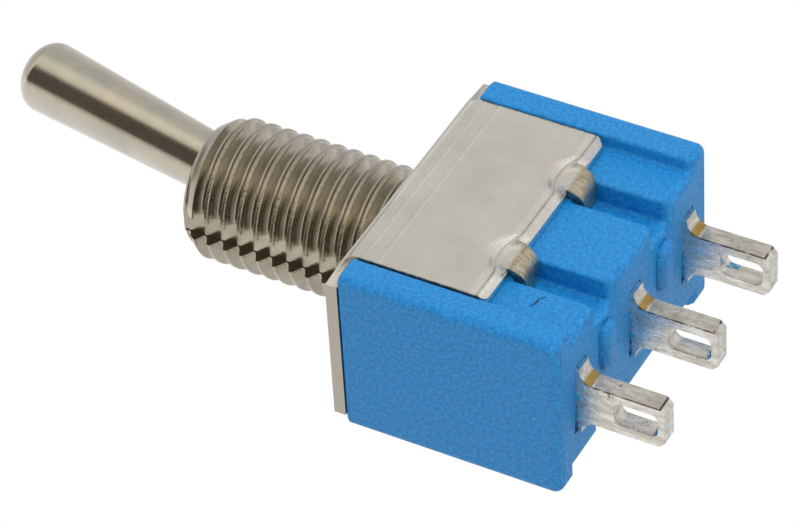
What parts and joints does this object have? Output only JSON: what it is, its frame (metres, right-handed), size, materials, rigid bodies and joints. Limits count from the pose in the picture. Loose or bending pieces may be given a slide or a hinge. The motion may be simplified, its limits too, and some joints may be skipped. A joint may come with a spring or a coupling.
{
  "type": "toggle switch",
  "caption": "Miniature panel toggle switch: bat lever in a threaded bushing above a blue moulded housing with flat solder lugs.",
  "frame": {"origin": "on the bushing's axis, at the outer face of the metal frame that seats against a panel", "axes": "+Z along the bushing towards the lever; X along the row of terminals, with the stored lever leaning to +X; the frame's two legs stand at -Y and +Y"},
  "size_m": [0.0132, 0.0078, 0.0332],
  "materials": {
    "polished_nickel": "polished nickel plate on brass",
    "plated_brass": "dull nickel plate on turned brass",
    "satin_steel": "satin zinc-plated sheet with raw punched edges",
    "blue_plastic": "moulded thermoset plastic, fine mottled matte",
    "tinned_terminal": "tin-plated brass, yellow where the plate is thin",
    "inner_steel": "ground steel",
    "white_nylon": "natural nylon",
    "spring_steel": "drawn spring wire",
    "rocker_brass": "thinly silver-plated brass strip",
    "contact_silver": "satin silver rivet"
  },
  "bodies": {
    "base": {"bushing": "plated_brass", "frame": "satin_steel", "housing": "blue_plastic", "common_terminal": "tinned_terminal", "left_terminal": "tinned_terminal", "right_terminal": "tinned_terminal", "left_contact": "contact_silver", "right_contact": "contact_silver"},
    "lever": {"lever": "polished_nickel", "pivot_pin": "inner_steel"},
    "plunger": {"plunger": "white_nylon", "plunger_spring": "spring_steel"},
    "rocker": {"rocker": "rocker_brass", "left_rocker_tip": "contact_silver", "right_rocker_tip": "contact_silver"}
  },
  "joints": [
    {"name": "lever_tilt", "type": "hinge", "parent": "base", "child": "lever", "pos_m": [0, 0, 0.0052], "axis": [0, -1, 0], "range_deg": [0, 24.4]},
    {"name": "rocker_tilt", "type": "hinge", "parent": "base", "child": "rocker", "pos_m": [0, 0, -0.006], "axis": [0, 1, 0], "range_deg": [0, 16]},
    {"name": "plunger_slide", "type": "slide", "parent": "lever", "child": "plunger", "axis": [0.2113, 0, 0.9774], "range_m": [0, 0.0007], "stiffness_N_per_m": 400, "springref_m": -0.0007, "deforming": ["plunger_spring"]}
  ],
  "couplings": [
    {"joint": "rocker_tilt", "follows": "lever_tilt", "ratio": 0.65574}
  ]
}
